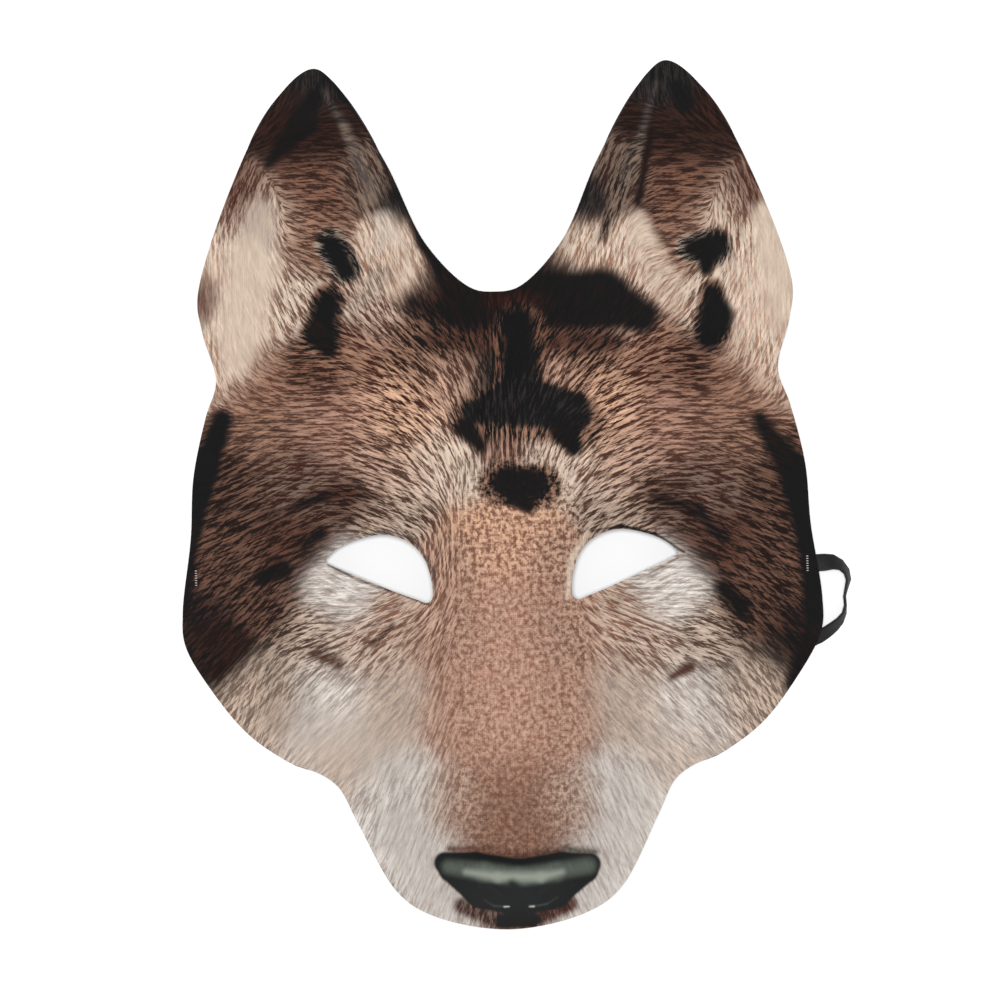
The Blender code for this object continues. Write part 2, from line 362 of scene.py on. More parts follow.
# Soft strokes laid over the coat, in this order, from one round end to the other.
# Columns: across down radius, to across down radius, softness share ground strand
MARKS = """
# left ear
262 213 12 252 262 25 24 .60 dove oat
252 262 25 240 325 23 24 .65 oat cream
240 325 22 235 366 13 20 .60 oat cream
314 94 6 304 124 14 10 .30 black black
304 120 13 268 164 4 9 .30 black ink
316 246 4 320 262 3 8 .50 rust walnut
323 90 2 344 126 4 8 .50 soot smoke
344 126 4 372 192 8 9 .50 smoke stone
384 222 10 395 262 20 16 .60 dove cream
396 264 20 400 292 12 16 .60 tan cream
382 275 11 346 314 6 8 .55 stone oat
325 73 5 366 117 6 7 .20 black black
366 117 6 398 181 6 7 .20 black black
398 181 6 424 242 8 8 .20 black ink
424 242 8 462 290 20 10 .20 black ink
331 246 17 346 268 16 8 .42 black oat
332 246 13 346 270 12 14 .12 black black
328 300 17 320 340 19 8 .40 black tan
328 300 12 321 334 16 14 .12 black black
319 332 13 328 348 10 9 .20 black ink
# right ear
638 222 10 648 260 17 16 .60 oat cream
651 263 19 668 290 17 16 .60 tan cream
668 290 15 680 310 8 14 .55 tan cream
765 215 13 776 268 19 14 .60 oat cream
776 268 17 786 312 11 12 .60 oat cream
655 83 2 641 138 4 8 .50 soot smoke
641 138 5 620 188 8 9 .50 soot stone
620 188 7 602 238 5 9 .50 ink stone
652 128 3 638 202 4 6 .30 ink ink
676 86 7 685 102 10 11 .20 black black
690 248 14 714 248 19 8 .42 black oat
692 248 11 714 246 16 14 .12 black black
707 254 11 706 268 7 8 .15 black black
712 290 12 712 330 20 8 .40 black tan
713 292 9 716 314 17 14 .12 black black
716 316 17 708 338 13 14 .12 black black
# crown and brow
410 302 10 470 320 16 26 .28 black bark
470 300 30 600 300 32 18 .18 black ink
600 296 26 642 316 18 16 .20 black ink
490 300 8 536 302 9 18 .30 ink maroon
430 340 10 612 342 12 18 .40 black brown
520 330 26 520 384 24 12 .40 black walnut
470 418 20 520 406 32 10 .38 black tan
520 406 32 576 420 27 10 .38 black tan
518 322 16 520 392 18 14 .10 black black
474 412 13 520 400 25 9 .10 black soot
520 400 26 572 412 20 9 .10 black soot
466 428 11 480 446 7 9 .15 black ink
562 430 14 574 447 9 9 .15 black ink
500 484 22 540 486 22 8 .40 black tan
506 482 15 534 484 15 9 .10 black ink
517 496 12 528 506 8 9 .15 black ink
# side margins
222 420 11 205 468 13 11 .12 black black
205 468 15 190 530 11 9 .12 black black
190 530 11 184 600 7 9 .15 black ink
760 420 8 800 480 18 12 .18 black ink
800 480 18 822 552 22 9 .10 black black
822 552 22 826 640 20 9 .10 black black
822 640 18 796 684 12 12 .25 black ink
# eyes
290 509 4 336 493 7 9 .22 black bark
336 493 6 382 497 3 9 .35 ink brown
304 545 4 322 532 6 9 .20 black bark
262 577 8 282 570 10 8 .10 black ink
652 496 4 696 509 7 9 .25 black bark
696 509 7 724 540 5 11 .25 black bark
724 588 8 742 606 10 11 .15 black ink
# cheeks
205 636 15 240 642 12 14 .30 ink bark
236 648 12 216 672 9 13 .28 ink bark
312 654 4 338 662 7 9 .40 mauve stone
372 645 3 392 626 3 7 .35 ink brown
672 677 4 690 667 6 8 .40 mauve brown
# nose
462 906 8 500 921 9 8 .40 maroon stone
534 919 8 570 904 8 8 .35 maroon umber
503 921 8 533 920 8 6 .20 black black
450 849 3 484 850 4 8 .45 mauve walnut
484 850 4 520 857 4 8 .45 mauve walnut
520 857 4 566 850 4 8 .40 mauve umber
566 850 4 596 852 3 8 .40 slate stone
445 863 11 475 867 15 3 .50 pitch pitch
475 867 15 520 874 15 3 .50 pitch pitch
520 874 15 562 867 15 3 .50 pitch pitch
562 867 15 590 864 11 3 .50 pitch pitch
452 869 14 484 885 24 3 .50 pitch pitch
484 885 24 516 889 27 3 .50 pitch pitch
516 889 27 550 884 26 3 .50 pitch pitch
550 884 26 584 869 15 3 .50 pitch pitch
449 867 6 484 872 8 11 .35 slate moss
484 872 8 520 877 8 11 .55 slate moss
520 877 8 556 872 8 11 .55 slate moss
556 871 7 588 866 7 11 .35 slate moss
466 872 2 498 877 4 9 .50 sage sage
498 877 4 541 877 4 9 .50 sage sage
541 877 4 562 872 2 9 .50 sage sage
512 884 4 534 900 5 10 .50 pitch night
478 886 .1 492 888 .4 4 .50 night soot
492 888 .4 502 896 .1 4 .50 night soot
551 886 .1 541 891 .4 4 .50 night soot
541 891 .4 538 898 .1 4 .50 night soot
484 900 .2 494 906 .6 3 .50 soot slate
494 906 .6 509 907 .5 3 .50 slate slate
531 907 .5 547 904 .6 3 .50 slate slate
547 904 .6 558 897 .2 3 .50 soot slate
504.5 906.8 .7 509 906.6 .5 1.4 .50 milk milk
529.5 906.6 .5 534 906.4 .7 1.4 .50 milk milk
# edges of the eye holes
567 598 2 571 560 3 4 .60 oat cream
571 560 3 588 532 2 4 .60 oat cream
592 531 .6 622 526 1.4 3 .30 ink bark
622 526 1.4 655 534 1.8 3 .20 black ink
655 534 1.8 684 552 1 3 .20 black ink
650 573 .6 678 558 1 3 .40 mauve stone
328 565 .8 352 577 1.2 3 .20 ink ink
352 577 1 380 588 1 3 .40 smoke stone
378 584 1 391 591 1.8 4 .30 ink mauve
398 593 .8 428 604 1.4 3 .30 ink mauve
350 538 .5 385 531 1 3 .40 smoke ash
385 531 1 415 539 1 3 .40 smoke ash
415 539 .8 434 572 1.2 3 .40 smoke stone
434 572 1.2 436 598 1 3 .40 smoke stone
"""
# Where the hair is faint, and where flecks take its place on the bridge and muzzle.
# Columns: across down radius, to across down radius, softness nap speckle
NAP = """
258 215 16 240 350 24 20 .35 0
395 225 12 400 285 18 16 .45 0
640 225 12 670 295 20 16 .45 0
768 215 16 784 320 18 18 .40 0
300 110 20 270 165 8 14 .30 0
600 290 26 550 290 10 14 .50 0
430 710 70 440 850 50 50 .60 .2
600 710 60 600 860 50 50 .60 .2
280 720 24 380 750 34 30 .28 0
520 520 60 520 640 60 40 .60 .8
520 640 65 520 840 60 40 .45 .8
400 830 26 440 900 26 24 .30 0
640 800 26 600 900 26 24 .35 0
445 863 11 475 867 15 5 .10 .5
475 867 15 520 874 15 5 .10 .5
520 874 15 590 865 12 5 .10 .5
455 874 10 492 890 20 5 .05 0
492 890 20 545 889 21 5 .05 0
545 889 21 584 872 12 5 .05 0
"""

def curve_through(points, closed=True):
    """Closely spaced points along a centripetal Catmull-Rom curve through the given ones."""
    points = np.array(points, float)
    if closed:
        before, start = np.roll(points, 1, 0), points
        end, after = np.roll(points, -1, 0), np.roll(points, -2, 0)
    else:
        padded = np.vstack([2 * points[0] - points[1], points, 2 * points[-1] - points[-2]])
        before, start, end, after = padded[:-3], padded[1:-2], padded[2:-1], padded[3:]
    knots = [np.sqrt(np.linalg.norm(b - a, axis=1))[:, None]
             for a, b in ((before, start), (start, end), (end, after))]
    first, span, last = knots
    leave = (start - before) / first - (end - before) / (first + span) + (end - start) / span
    arrive = (end - start) / span - (after - start) / (span + last) + (after - end) / last
    rows = []
    for t in np.arange(CURVE_STEPS) / CURVE_STEPS:
        rows.append(
            (2 * t**3 - 3 * t**2 + 1) * start
            + (t**3 - 2 * t**2 + t) * span * leave
            + (3 * t**2 - 2 * t**3) * end
            + (t**3 - t**2) * span * arrive
        )
    line = np.stack(rows, 1).reshape(-1, points.shape[1])
    return line if closed else np.vstack([line, points[-1]])


def spaced(line, step, closed=True):
    """The line's points moved to even distances of about one step."""
    if closed:
        line = np.vstack([line, line[:1]])
    reach = np.concatenate([[0.0], np.cumsum(np.linalg.norm(np.diff(line, axis=0), axis=1))])
    count = max(4, round(reach[-1] / step))
    places = np.linspace(0.0, reach[-1], count + 1)
    columns = [np.interp(places, reach, column) for column in line.T]
    even = np.stack(columns, 1)
    return even[:-1] if closed else even


def sheet_outline(step):
    """The sheet's cut edge as a closed loop, ears up."""
    half = [(x * MASK_WIDTH / 2, (y - 0.5) * MASK_HEIGHT) for x, y in OUTLINE]
    other_half = [(-x, y) for x, y in half[-2:0:-1]]
    return spaced(curve_through(half + other_half), step)


def eye_outline(side, step):
    """An eye hole's cut edge as a closed loop: the right one, or its twin."""
    centre_x, centre_y = EYE_SPACING / 2, EYE_UP - MASK_HEIGHT / 2
    points = [(side * (centre_x + x * EYE_WIDTH / 2), centre_y + y * EYE_HEIGHT / 2)
              for x, y in EYE_OUTLINE]
    return spaced(curve_through(points), step)


def inside(points, loop):
    """Which points lie inside a closed loop."""
    x, y = points[:, :1], points[:, 1:]
    (x0, y0), (x1, y1) = loop.T, np.roll(loop, -1, 0).T
    spans = (y0 > y) != (y1 > y)
    rise = np.where(y1 == y0, 1.0, y1 - y0)
    crossings = spans & (x < x0 + (y - y0) * (x1 - x0) / rise)
    return crossings.sum(1) % 2 == 1


def edge_distance(points):
    """Rounded distance to the cut edge: true beside it, and with no crease half way."""
    rim = sheet_outline(MEASURE_STEP)
    step = np.linalg.norm(rim[1] - rim[0])
    gaps = np.linalg.norm(points[:, None] - rim[None], axis=2)
    total = (np.maximum(gaps, MEASURE_STEP / 4) ** -4).sum(1) * step * 2 / math.pi
    return total ** (-1 / 3)


def fall_off(distance, reach):
    """0 at the cut edge, 1 from one reach inwards."""
    return 1 - (1 - np.clip(distance / reach, 0, 1)) ** 2


def forms_at(points, forms):
    """Summed rise of the pressed forms, each a smooth mound with its twin."""
    across, up = points[:, 0] / (MASK_WIDTH / 2), points[:, 1] / MASK_HEIGHT + 0.5
    total = np.zeros(len(points))
    for x, y, reach_x, reach_y, rise in forms:
        for centre in {x, -x}:
            apart = ((across - centre) / reach_x) ** 2 + ((up - y) / reach_y) ** 2
            total += rise * np.clip(1 - apart, 0, 1) ** 2
    return total


def rest_share(points):
    """1 where the sheet lies on the table, 0 away from there."""
    share = np.zeros(len(points))
    for x, y in REST_PLACES:
        for side in (-1, 1):
            centre = np.array([side * x * MASK_WIDTH / 2, (y - 0.5) * MASK_HEIGHT])
            beyond = np.linalg.norm(points - centre, axis=1) - REST_RADIUS
            share += np.clip(1 - (np.clip(beyond, 0, None) / REST_BLEND) ** 2, 0, 1) ** 2
    return np.clip(share, 0, 1)


def front_height(points):
    """Height of the face above the table."""
    edge = edge_distance(points)
    relief = (
        EDGE_LIFT
        + FACE_RISE * fall_off(edge, FACE_FALL) * forms_at(points, FACE_FORMS)
        + MUZZLE_RISE * fall_off(edge, MUZZLE_FALL) * forms_at(points, MUZZLE_FORMS)
        + FOLD_RISE * fall_off(edge, FOLD_FALL) * forms_at(points, FOLD_FORMS)
    )
    return WALL + relief * (1 - rest_share(points))


def front_and_back(points):
    """The sheet's two faces: the back one lies one wall behind the front one."""
    reach = MEASURE_STEP / 2
    right, up = np.array([reach, 0.0]), np.array([0.0, reach])
    slope_x = (front_height(points + right) - front_height(points - right)) / (2 * reach)
    slope_y = (front_height(points + up) - front_height(points - up)) / (2 * reach)
    front = np.column_stack([points, front_height(points)])
    normal = np.column_stack([-slope_x, -slope_y, np.ones(len(points))])
    normal /= np.linalg.norm(normal, axis=1)[:, None]
    back = front - normal * WALL
    back[:, 2] = np.clip(back[:, 2], 0, None)
    return front, back


def sewn_end(side):
    """Stations of a strap end on the back of the sheet, from its cut end to the edge."""
    rim = sheet_outline(MEASURE_STEP)
    level = rim[(rim[:, 0] * side > 0) & (abs(rim[:, 1] - STRAP_ACROSS) < 2 * MEASURE_STEP)]
    edge_x = abs(level[:, 0]).min() - STRAP_EDGE_MARGIN
    places = np.linspace(edge_x - STRAP_SEWN, edge_x, SEWN_STATIONS)
    points = np.array([(side * x, STRAP_ACROSS) for x in places])
    _, back = front_and_back(points)
    back[:, 2] -= STRAP_GAP + STRAP_THICKNESS / 2
    return [(*point, 0.0) for point in back]


def strap_stations():
    """Centre and lift of the band, at even steps from its right end to its left one."""
    free = [(x * MM, y * MM, z * MM, math.radians(lift)) for x, y, z, lift in STRAP_ROUTE]
    stations = sewn_end(1) + free + sewn_end(-1)
    scaled = np.array(stations) * (1, 1, 1, MM)
    line = spaced(curve_through(scaled, closed=False), STRAP_RING, closed=False)
    return line[:, :3], line[:, 3] / MM




def in_blocks(measure, points):
    """What measure gives for all the points, worked out a few thousand at a time."""
    parts = np.array_split(points, len(points) // BLOCK + 1)
    return np.concatenate([measure(part) for part in parts])


def far_from(points, loops):
    """Distance of each point to the nearest point of the loops."""
    edge = np.vstack(loops)
    tree = kdtree.KDTree(len(edge))
    for i, (x, y) in enumerate(edge):
        tree.insert((x, y, 0), i)
    tree.balance()
    return np.array([tree.find((x, y, 0))[2] for x, y in points])


def in_sheet(points, loops):
    """Which points lie inside the outline and outside the eye holes."""
    held = in_blocks(lambda part: inside(part, loops[0]), points)
    for eye in loops[1:]:
        held &= ~in_blocks(lambda part: inside(part, eye), points)
    return held


def honeycomb(step, loops):
    """Evenly spaced points inside the sheet."""
    row_step = step * math.sqrt(3) / 2
    rows = int(MASK_HEIGHT / row_step / 2) + 1
    columns = int(MASK_WIDTH / step / 2) + 1
    j, i = np.mgrid[-rows:rows + 1, -columns:columns + 1]
    grid = np.column_stack([((i + (j % 2) / 2) * step).ravel(), (j * row_step).ravel()])
    return grid[in_sheet(grid, loops)]


def in_detail(points, eyes):
    """Which points lie where the print has fine lines: at the nose and the eye holes."""
    start, end = np.array(NOSE_ENDS)
    run = end - start
    along = np.clip((points - start) @ run / (run @ run), 0, 1)
    apart = np.linalg.norm(points - start - along[:, None] * run, axis=1)
    return (apart < NOSE_REACH) | (far_from(points, eyes) < FINE_REACH)


def sheet_plan(step, fine_step=None):
    """Plan points and triangles of the sheet. The points of its cut edges come first, a
    loop at a time, at the same places whatever the step inside is."""
    loops = [sheet_outline(FACE_STEP), eye_outline(1, FINE_STEP), eye_outline(-1, FINE_STEP)]
    edges, start = [], 0
    for loop in loops:
        count = len(loop)
        edges += [(start + i, start + (i + 1) % count) for i in range(count)]
        start += count
    grid = honeycomb(step, loops)
    if fine_step:
        fine = honeycomb(fine_step, loops)
        fine = fine[in_detail(fine, loops[1:])]
        grid = np.vstack([grid[~in_detail(grid, loops[1:])], fine])
        clear = far_from(grid, loops[:1]) > step * RIM_CLEAR
        grid = grid[clear & (far_from(grid, loops[1:]) > fine_step * RIM_CLEAR)]
    else:
        grid = grid[far_from(grid, loops) > step * LINING_CLEAR]
    flat = [Vector(point) for point in np.vstack(loops + [grid])]
    verts, _, faces, *_ = geometry.delaunay_2d_cdt(flat, edges, [], 1, 1e-7)
    plan = np.array([tuple(vert) for vert in verts])
    faces = np.array([list(face) for face in faces])
    return plan, faces[in_sheet(plan[faces].mean(1), loops)], np.array(edges)


def linear(tone):
    """Linear red, green and blue of an sRGB hex tone."""
    share = np.array([int(tone[i:i + 2], 16) for i in (1, 3, 5)]) / 255
    return np.where(share <= 0.04045, share / 12.92, ((share + 0.055) / 1.055) ** 2.4)


def add_node(material, kind, inputs=None, **settings):
    """Adds a node to a material. Its inputs are values, or outputs of other nodes."""
    made = material.node_tree.nodes.new(kind)
    for name, value in settings.items():
        setattr(made, name, value)
    for name, value in (inputs or {}).items():
        if isinstance(value, bpy.types.NodeSocket):
            material.node_tree.links.new(value, made.inputs[name])
        else:
            made.inputs[name].default_value = value
    return made


def new_material(name, **values):
    """A material with its Principled shader set, and that shader."""
    material = bpy.data.materials.new(name)
    material.use_nodes = True
    shader = material.node_tree.nodes["Principled BSDF"]
    for label, value in values.items():
        shader.inputs[label.replace("_", " ")].default_value = value
    return material, shader


def add_object(name, mesh):
    """Puts a mesh in the scene as a piece of the mask, hung under the mask's root body."""
    piece = bpy.data.objects.new(name, mesh)
    bpy.context.scene.collection.objects.link(piece)
    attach(piece, "root")
    return piece


def chart_places(points):
    """Where the camera's view lays points of the mask on the chart."""
    seen = (CAMERA_HEIGHT - CHART_LEVEL) / (CAMERA_HEIGHT - points[:, 2])
    x = (points[:, 0] - CAMERA_ACROSS) * seen
    y = (points[:, 1] - CAMERA_UP) * seen
    turn = math.cos(CAMERA_TURN), math.sin(CAMERA_TURN)
    unit = CHART_VIEW / CHART_SIZE
    across = (x * turn[0] + y * turn[1]) / unit + CHART_SIZE / 2
    down = (x * turn[1] - y * turn[0]) / unit + CHART_SIZE / 2
    return np.column_stack([across, down])


def chart_rows(table):
    """A table's rows as numbers, with the tones named at a row's end as linear colours."""
    rows = [row.split() for row in table.strip().splitlines() if not row.startswith("#")]
    made = []
    for row in rows:
        numbers = [float(word) for word in row if word not in TONES]
        tones = [DYE_DEPTH * linear(TONES[word]) ** DYE_CONTRAST for word in row if word in TONES]
        made.append(np.concatenate([numbers, *tones]))
    return np.array(made)


def coat_patches():
    """The patches of the left half of the face, and their twins across its middle line."""
    left = chart_rows(PRINT)
    right = left.copy()
    middle = MIDDLE_AT_CHIN - (CHIN_DOWN - left[:, 1]) * MIDDLE_LEAN
    left[:, 0], right[:, 0] = middle - left[:, 0], middle + right[:, 0]
    right[:, 3] = 180 - right[:, 3]
    return np.vstack([left, right[left[:, 0] < middle]])


def shares_of(places, spots, spread):
    """How far each place belongs to each spot, in parts of one."""
    apart = ((places[:, None] - spots[None, :, :2]) ** 2).sum(2)
    likeness = -apart / (spots[:, 2] * spread) ** 2
    shares = np.exp(likeness - likeness.max(1)[:, None])
    return shares / shares.sum(1)[:, None]


def lay_marks(places, ground, marks):
    """Lays soft-edged strokes over what is there, in the table's order."""
    for x0, y0, r0, x1, y1, r1, soft, *laid in marks:
        start, run = np.array([x0, y0]), np.array([x1 - x0, y1 - y0])
        along = np.clip((places - start) @ run / (run @ run), 0, 1)
        apart = np.linalg.norm(places - start - along[:, None] * run, axis=1)
        cover = np.clip((r0 + (r1 - r0) * along - apart) / soft + 0.5, 0, 1)
        cover = (cover * cover * (3 - 2 * cover))[:, None]
        ground += cover * (np.array(laid) - ground)
    return ground


def print_at(places):
    """Strand share, ground tone, strand tone, lay (twice its angle), nap and speckle."""
    spots, marks, naps = coat_patches(), chart_rows(MARKS), chart_rows(NAP)
    tones = shares_of(places, spots, TONE_SPREAD) @ spots[:, 4:]
    tones = lay_marks(places, tones, marks)
    lay = np.radians(spots[:, 3])
    twice = np.column_stack([np.cos(2 * lay), np.sin(2 * lay)])
    flow = shares_of(places, spots, LAY_SPREAD) @ twice
    flow /= np.linalg.norm(flow, axis=1)[:, None] + 1e-6
    nap = lay_marks(places, np.tile([1.0, 0.0], (len(places), 1)), naps)
    return np.column_stack([tones, flow, nap])


def laminate_mesh():
    """The closed sheet: a fine face, a coarser lining and the cut edges between them."""
    face_plan, face_tris, rim = sheet_plan(FACE_STEP, FINE_STEP)
    back_plan, back_tris, _ = sheet_plan(LINING_STEP)
    front = in_blocks(lambda part: front_and_back(part)[0], face_plan)
    rim_front, rim_back = front_and_back(face_plan[:len(rim)])
    back = in_blocks(lambda part: front_and_back(part)[1], back_plan)
    inward = rim_back - rim_front
    knit_row = rim_front + inward * KNIT_LAYER / WALL
    foam_row = rim_back - inward * LINING_LAYER / WALL
    starts = np.cumsum([0, len(front), len(rim), len(rim)])
    points = np.vstack([front, knit_row, foam_row, back])
    faces = [face_tris, back_tris[:, ::-1] + starts[3]]
    layers = [np.zeros(len(face_tris), int), np.full(len(back_tris), 2)]
    for layer, upper, lower in ((0, 0, starts[1]), (1, starts[1], starts[2]), (2, starts[2], starts[3])):
        a, b = rim.T
        faces += [np.column_stack([a + upper, lower + a, lower + b]),
                  np.column_stack([a + upper, lower + b, b + upper])]
        layers += [np.full(2 * len(rim), layer)]
    faces, layers = np.vstack(faces), np.concatenate(layers)
    mesh = bpy.data.meshes.new("laminate_sheet")
    mesh.from_pydata(points.tolist(), [], faces.tolist())
    mesh.polygons.foreach_set("material_index", layers.astype(np.int32))
    mesh.validate()
    shape = bmesh.new()
    shape.from_mesh(mesh)
    bmesh.ops.recalc_face_normals(shape, faces=shape.faces)
    shape.to_mesh(mesh)
    shape.free()
    mesh.shade_smooth()
    mesh.set_sharp_from_angle(angle=SHEET_CREASE)
    return mesh


def hair_lines(material, flow):
    """Fine streaks that follow the lay: noise drawn out along eight fixed ways, each shown
    where the lay is near it. Red, green and blue vary on their own about zero."""
    place = add_node(material, "ShaderNodeTexCoord").outputs["Object"]
    total, power = (0.0, 0.0, 0.0), 0.0
    for way in range(LAYS):
        angle = way * math.pi / LAYS
        drawn = add_node(material, "ShaderNodeMapping", {
            "Vector": place, "Location": (way * 0.37, way * 0.13, 0),
            "Rotation": (0, 0, angle), "Scale": (HAIR_LENGTH, HAIR_WIDTH, 1),
        }, vector_type="TEXTURE").outputs[0]
        noise = add_node(material, "ShaderNodeTexNoise", {
            "Vector": drawn, "Scale": 1, "Detail": 3, "Roughness": 0.75,
        }, noise_dimensions="2D").outputs["Color"]
        facing = add_node(material, "ShaderNodeVectorMath", {
            0: flow, 1: (math.cos(2 * angle), math.sin(2 * angle), 0),
        }, operation="DOT_PRODUCT").outputs["Value"]
        weight = add_node(material, "ShaderNodeMapRange", {
            "Value": facing, "From Min": math.cos(2 * math.pi / LAYS), "From Max": 1,
        }).outputs[0]
        centred = add_node(material, "ShaderNodeVectorMath", {
            0: noise, 1: (0.5, 0.5, 0.5),
        }, operation="SUBTRACT").outputs[0]
        total = add_node(material, "ShaderNodeVectorMath", {
            0: centred, 1: weight, 2: total,
        }, operation="MULTIPLY_ADD").outputs[0]
        power = add_node(material, "ShaderNodeMath", {
            0: weight, 1: weight, 2: power,
        }, operation="MULTIPLY_ADD").outputs[0]
    evened = add_node(material, "ShaderNodeMath", {0: power}, operation="INVERSE_SQRT")
    return add_node(material, "ShaderNodeVectorMath", {
        0: total, "Scale": evened.outputs[0],
    }, operation="SCALE").outputs[0]


def printed_knit():
    """Polyester tricot knit with a dye print of a wolf's coat: matt, with a faint sheen
    and a fine grid of stitches."""
    material, shader = new_material(
        "printed_knit", Roughness=0.8, Sheen_Weight=0.02, Specular_IOR_Level=0.15)
    ground = add_node(material, "ShaderNodeAttribute", attribute_name="ground")
    strand = add_node(material, "ShaderNodeAttribute", attribute_name="strand")
    flow = add_node(material, "ShaderNodeAttribute", attribute_name="flow")
    speckled = add_node(material, "ShaderNodeAttribute", attribute_name="speckle").outputs["Fac"]
    nap = add_node(material, "ShaderNodeSeparateXYZ", {0: flow.outputs["Vector"]}).outputs[2]
    hair = hair_lines(material, flow.outputs["Vector"])
    place = add_node(material, "ShaderNodeTexCoord").outputs["Object"]
    fleck = add_node(material, "ShaderNodeTexNoise", {
        "Vector": place, "Scale": 1 / SPECKLE, "Detail": 2, "Roughness": 0.7,
    }, noise_dimensions="2D").outputs["Color"]
    fleck = add_node(material, "ShaderNodeVectorMath", {
        0: fleck, 1: (0.5, 0.5, 0.5),
    }, operation="SUBTRACT").outputs[0]
    hair = add_node(material, "ShaderNodeMix", {
        0: speckled, 4: hair, 5: fleck,
    }, data_type="VECTOR").outputs[1]
    hair = add_node(material, "ShaderNodeVectorMath", {
        0: hair, "Scale": nap,
    }, operation="SCALE").outputs[0]
    parted = add_node(material, "ShaderNodeSeparateXYZ", {0: hair})
    share = add_node(material, "ShaderNodeMath", {
        0: parted.outputs[0], 1: HAIR_CONTRAST, 2: strand.outputs["Alpha"],
    }, operation="MULTIPLY_ADD").outputs[0]
    share = add_node(material, "ShaderNodeMapRange", {
        "Value": share,
    }, interpolation_type="SMOOTHSTEP").outputs[0]
    colour = add_node(material, "ShaderNodeMix", {
        0: share, 6: ground.outputs["Color"], 7: strand.outputs["Color"],
    }, data_type="RGBA").outputs[2]
    wales, courses = (add_node(material, "ShaderNodeTexWave", {
        "Vector": place, "Scale": WAVE_BANDS / KNIT_PITCH, "Phase Offset": 0,
    }, bands_direction=way).outputs["Fac"] for way in "XY")
    knit = add_node(material, "ShaderNodeMath", {
        0: wales, 1: courses,
    }, operation="MULTIPLY").outputs[0]
    lift = add_node(material, "ShaderNodeMath", {
        0: parted.outputs[1], 1: TONE_CONTRAST, 2: 1,
    }, operation="MULTIPLY_ADD").outputs[0]
    grid = add_node(material, "ShaderNodeMath", {
        0: speckled, 1: KNIT_SHADE, 2: KNIT_SHADE / 3,
    }, operation="MULTIPLY_ADD").outputs[0]
    even = add_node(material, "ShaderNodeMath", {0: knit, 1: 0.25}, operation="SUBTRACT").outputs[0]
    lift = add_node(material, "ShaderNodeMath", {
        0: even, 1: grid, 2: lift,
    }, operation="MULTIPLY_ADD").outputs[0]
    colour = add_node(material, "ShaderNodeVectorMath", {
        0: colour, "Scale": lift,
    }, operation="SCALE").outputs[0]
    dents = add_node(material, "ShaderNodeBump", {
        "Height": knit, "Strength": 0.2, "Distance": 0.06 * MM,
    }).outputs[0]
    material.node_tree.links.new(colour, shader.inputs["Base Color"])
    material.node_tree.links.new(dents, shader.inputs["Normal"])
    return material


def black_foam():
    """Open-cell polyurethane foam where it was die-cut: dead matt, pitted all over."""
    material, shader = new_material("black_foam", Roughness=0.95, Specular_IOR_Level=0.1)
    place = add_node(material, "ShaderNodeTexCoord").outputs["Object"]
    cells = add_node(material, "ShaderNodeTexVoronoi", {
        "Vector": place, "Scale": 1 / FOAM_CELL,
    }).outputs["Distance"]
    shade = add_node(material, "ShaderNodeMix", {
        0: cells, 6: (*linear("#0d0c0c"), 1), 7: (*linear("#2b2826"), 1),
    }, data_type="RGBA").outputs[2]
    pits = add_node(material, "ShaderNodeBump", {
        "Height": cells, "Strength": 0.6, "Distance": 0.15 * MM,
    }).outputs[0]
    material.node_tree.links.new(shade, shader.inputs["Base Color"])
    material.node_tree.links.new(pits, shader.inputs["Normal"])
    return material


def lining_knit():
    """Brushed polyester lining, dyed black: fine courses across, with worn grey patches
    where it rubs on the brow and cheeks."""
    material, shader = new_material("lining_knit", Sheen_Weight=0.15, Specular_IOR_Level=0.15)
    place = add_node(material, "ShaderNodeTexCoord").outputs["Object"]
    rows = add_node(material, "ShaderNodeTexWave", {
        "Vector": place, "Scale": WAVE_BANDS / LINING_COURSE, "Distortion": 1.5, "Detail": 2,
    }, bands_direction="Y").outputs["Fac"]
    wear = add_node(material, "ShaderNodeTexNoise", {
        "Vector": place, "Scale": 1 / WEAR_PATCH, "Detail": 4, "Roughness": 0.6,
    }).outputs["Fac"]
    worn = add_node(material, "ShaderNodeMapRange", {
        "Value": wear, "From Min": 0.45, "From Max": 0.75,
    }).outputs[0]
    dyed = add_node(material, "ShaderNodeMix", {
        0: rows, 6: (*linear("#141315"), 1), 7: (*linear("#2a282b"), 1),
    }, data_type="RGBA").outputs[2]
    shade = add_node(material, "ShaderNodeMix", {
        0: worn, 6: dyed, 7: (*linear("#38353a"), 1),
    }, data_type="RGBA").outputs[2]
    rough = add_node(material, "ShaderNodeMapRange", {
        "Value": wear, "To Min": 0.92, "To Max": 0.75,
    }).outputs[0]
    nubs = add_node(material, "ShaderNodeBump", {
        "Height": rows, "Strength": 0.4, "Distance": 0.1 * MM,
    }).outputs[0]
    material.node_tree.links.new(shade, shader.inputs["Base Color"])
    material.node_tree.links.new(rough, shader.inputs["Roughness"])
    material.node_tree.links.new(nubs, shader.inputs["Normal"])
    return material


